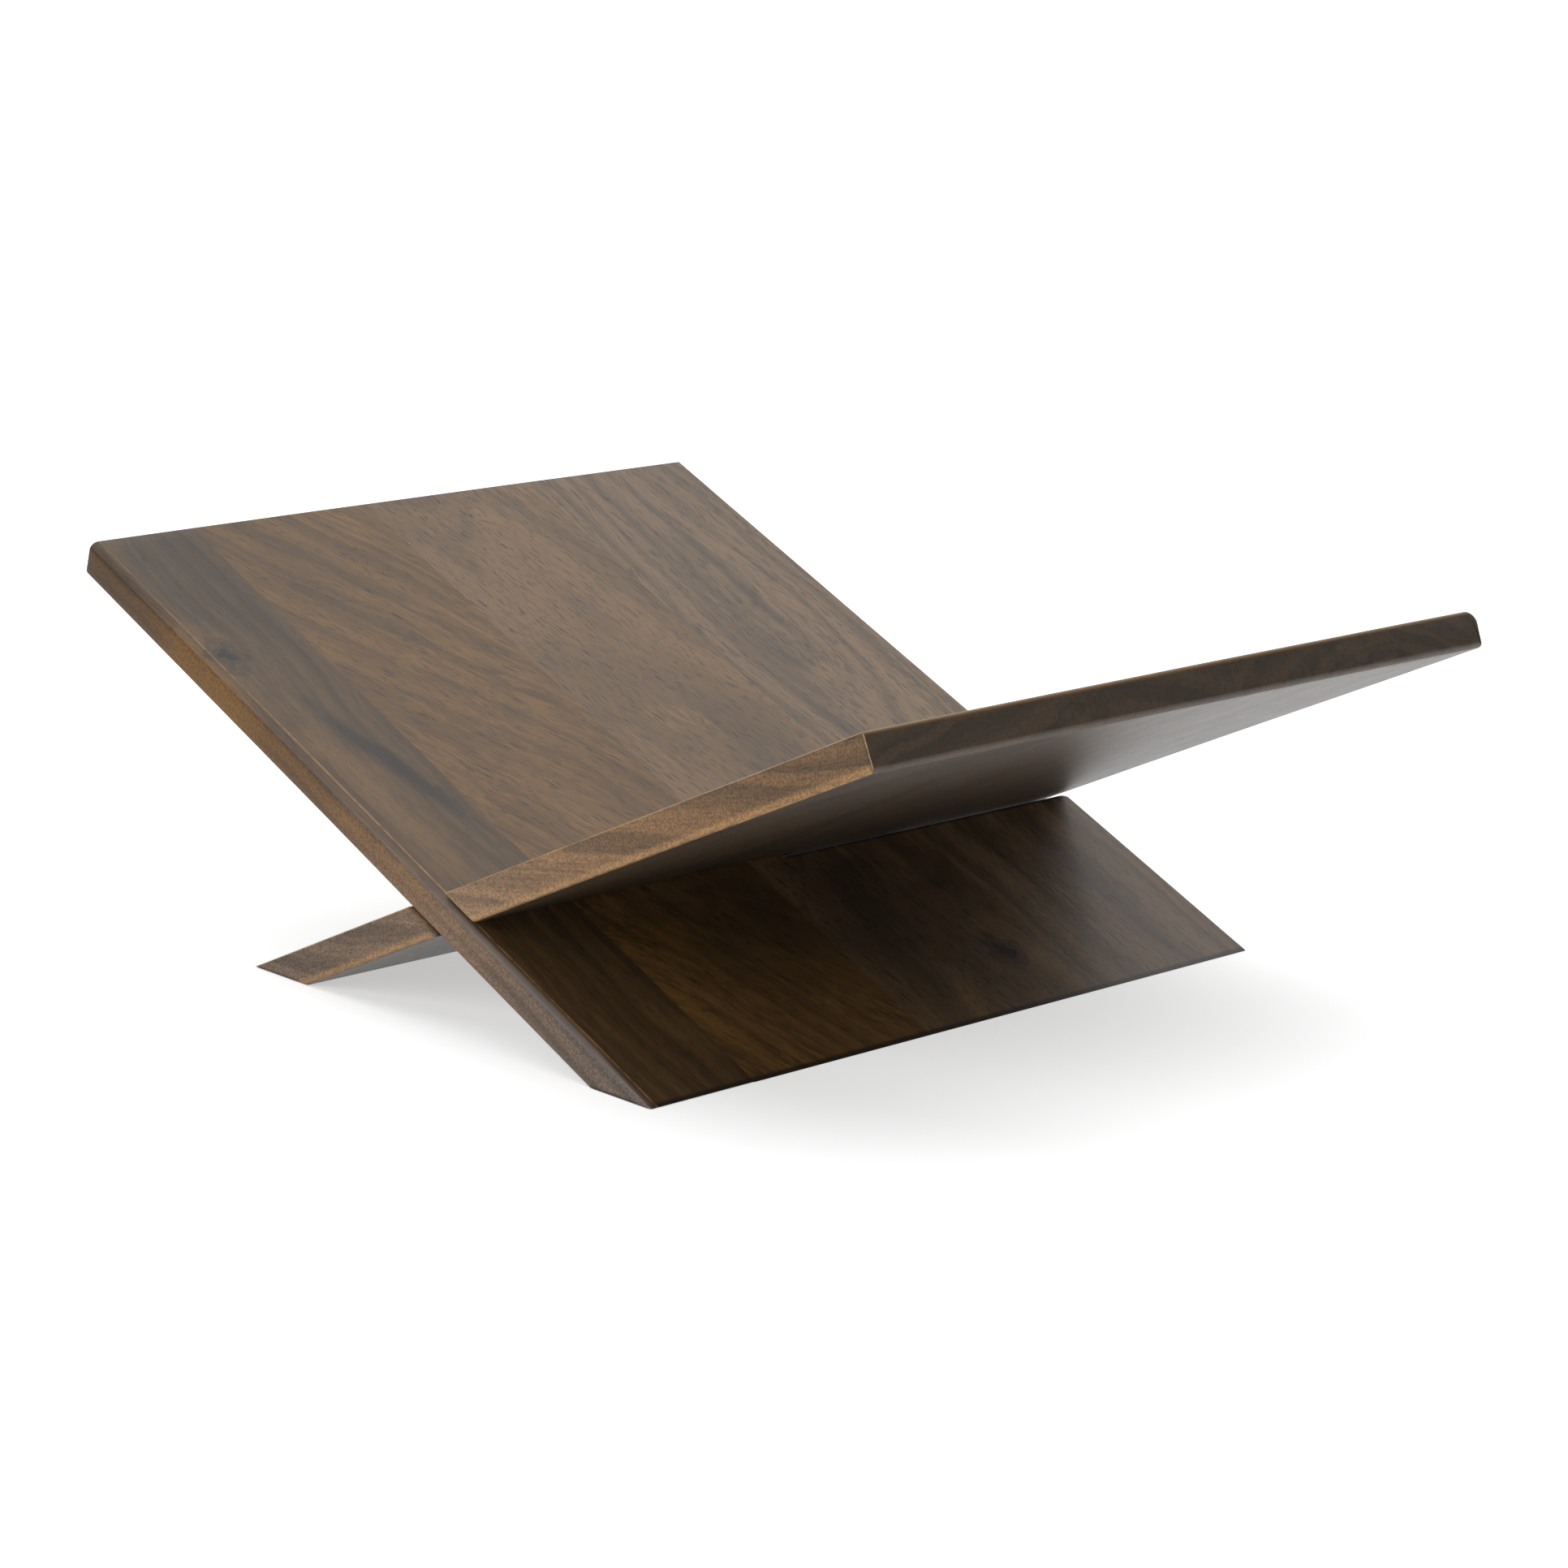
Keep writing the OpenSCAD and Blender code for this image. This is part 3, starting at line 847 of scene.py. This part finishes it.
class ALBUM_STAND_OT_left_board(bpy.types.Operator):
    """Build the five staves of the left board"""

    bl_idname = "album_stand.left_board"
    bl_label = "Left board"

    def execute(self, context):
        build_board("left_")
        return {"FINISHED"}


class ALBUM_STAND_OT_right_board(bpy.types.Operator):
    """Build the five staves of the right board"""

    bl_idname = "album_stand.right_board"
    bl_label = "Right board"

    def execute(self, context):
        build_board("right_")
        return {"FINISHED"}


class ALBUM_STAND_OT_stage(bpy.types.Operator):
    """Set up the white floor, the soft studio light and the camera"""

    bl_idname = "album_stand.stage"
    bl_label = "Stage"

    def execute(self, context):
        scene = context.scene
        stage = scene.album_stage
        half = stage.floor_size / 2
        mesh = bpy.data.meshes.new("floor")
        corners = [(-half, -half, 0), (half, -half, 0), (half, half, 0), (-half, half, 0)]
        mesh.from_pydata(corners, [], [(0, 1, 2, 3)])
        mesh.materials.append(white_paper(stage.floor_colour))
        floor = bpy.data.objects.new("floor", mesh)
        scene.collection.objects.link(floor)

        aim = Vector(stage.aim)
        soft_light("overhead_box", (-0.45, 0.45, 0.77), 120, stage.key)
        soft_light("front_box", (-0.20, -0.90, 0.36), 40, stage.fill)
        world = bpy.data.worlds.new("studio")
        world.use_nodes = True
        world.node_tree.nodes["Background"].inputs["Color"].default_value = (1, 1, 1, 1)
        world.node_tree.nodes["Background"].inputs["Strength"].default_value = stage.room
        scene.world = world
        scene.view_settings.view_transform = "Standard"

        cosine = math.cos(stage.elevation)
        back = Vector((math.sin(stage.azimuth) * cosine, -math.cos(stage.azimuth) * cosine,
                       math.sin(stage.elevation)))
        data = bpy.data.cameras.new("camera")
        data.lens = stage.lens
        data.sensor_width = 36.0
        data.clip_end = 100.0
        camera = bpy.data.objects.new("camera", data)
        camera.rotation_mode = "QUATERNION"
        camera.location = aim + back * stage.distance
        turn = (-back).to_track_quat("-Z", "Y")
        camera.rotation_quaternion = turn @ Matrix.Rotation(stage.roll, 3, "Z").to_quaternion()
        scene.collection.objects.link(camera)
        scene.camera = camera
        return {"FINISHED"}


class ALBUM_STAND_PT_panel(bpy.types.Panel):
    """Lists the stand's pieces and settings"""

    bl_label = "Album Stand"
    bl_idname = "ALBUM_STAND_PT_panel"
    bl_space_type = "VIEW_3D"
    bl_region_type = "UI"
    bl_category = "Album Stand"

    def draw(self, context):
        for operator in OPERATORS:
            self.layout.operator(operator.bl_idname)
        for name in GROUPS:
            box = self.layout.box()
            group = getattr(context.scene, name)
            for key in group.bl_rna.properties.keys():
                if key not in {"rna_type", "name"}:
                    box.prop(group, key)


GROUPS = {
    "album_boards": BoardSizes,
    "album_arrises": ArrisSizes,
    "album_colours": WoodColours,
    "album_stage": StageSettings,
}
OPERATORS = (ALBUM_STAND_OT_left_board, ALBUM_STAND_OT_right_board, ALBUM_STAND_OT_stage)
CLASSES = (*GROUPS.values(), *OPERATORS, ALBUM_STAND_PT_panel)


def register():
    """Registers the classes, and hangs the settings on the scene."""
    for cls in CLASSES:
        bpy.utils.register_class(cls)
    for name, group in GROUPS.items():
        setattr(bpy.types.Scene, name, bpy.props.PointerProperty(type=group))


def unregister():
    """Undoes what register did."""
    for name in GROUPS:
        delattr(bpy.types.Scene, name)
    for cls in reversed(CLASSES):
        bpy.utils.unregister_class(cls)


def main():
    """Builds the stage and both boards."""
    register()
    bpy.ops.album_stand.stage()
    bpy.ops.album_stand.left_board()
    bpy.ops.album_stand.right_board()


if __name__ == "__main__":
    main()
